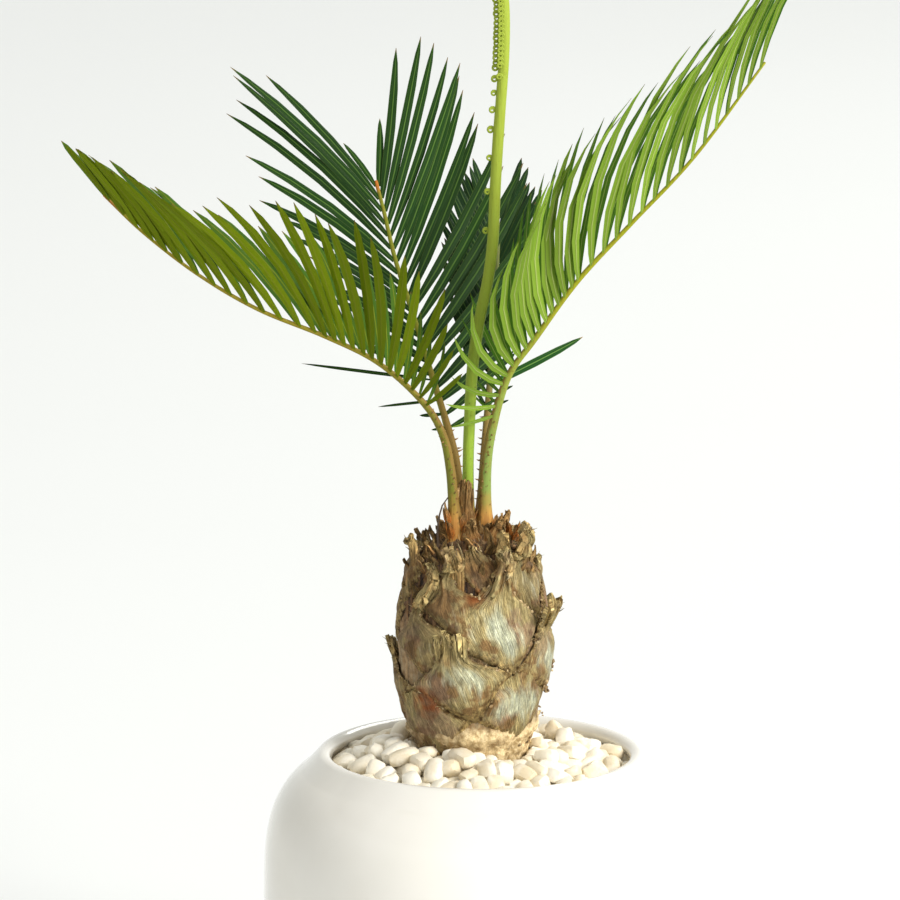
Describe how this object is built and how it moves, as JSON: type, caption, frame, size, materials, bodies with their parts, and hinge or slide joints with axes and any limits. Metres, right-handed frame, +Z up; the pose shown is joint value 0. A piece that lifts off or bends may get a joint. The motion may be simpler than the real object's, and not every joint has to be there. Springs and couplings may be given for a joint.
{
  "type": "potted sago palm",
  "caption": "Young sago palm with a scaly trunk, spreading feather fronds and an upright shoot, in a round white glazed pot topped with pebbles.",
  "frame": {"origin": "centre of the pot's foot, on the surface it stands on", "axes": "+Z up along the pot's axis; -X towards the left frond, +X towards the right frond, +Y towards the two rear fronds, -Y towards the viewer"},
  "size_m": [0.2044, 0.1578, 0.3281],
  "materials": {
    "glaze": "glossy",
    "soil": "matte",
    "pebbles": "satin",
    "bark": "matte",
    "leaf_base": "matte",
    "bud_scale": "matte",
    "leaf": "satin",
    "shoot": "satin"
  },
  "bodies": {
    "root": {"pot": "glaze", "soil": "soil", "pebble_bed": "pebbles", "trunk": "bark", "leaf_base_01": "leaf_base", "leaf_base_02": "leaf_base", "leaf_base_03": "leaf_base", "leaf_base_04": "leaf_base", "leaf_base_05": "leaf_base", "leaf_base_06": "leaf_base", "leaf_base_07": "leaf_base", "leaf_base_08": "leaf_base", "leaf_base_09": "leaf_base", "leaf_base_10": "leaf_base", "leaf_base_11": "leaf_base", "leaf_base_12": "leaf_base", "leaf_base_13": "leaf_base", "leaf_base_14": "leaf_base", "leaf_base_15": "leaf_base", "leaf_base_16": "leaf_base", "leaf_base_17": "leaf_base", "leaf_base_18": "leaf_base", "leaf_base_19": "leaf_base", "bud_scale_01": "bud_scale", "bud_scale_02": "bud_scale", "bud_scale_03": "bud_scale", "bud_scale_04": "bud_scale", "bud_scale_05": "bud_scale", "bud_scale_06": "bud_scale", "bud_scale_07": "bud_scale", "frond_left": "leaf", "frond_right": "leaf", "frond_back": "leaf", "frond_rear": "leaf", "frond_young": "shoot"}
  },
  "joints": []
}
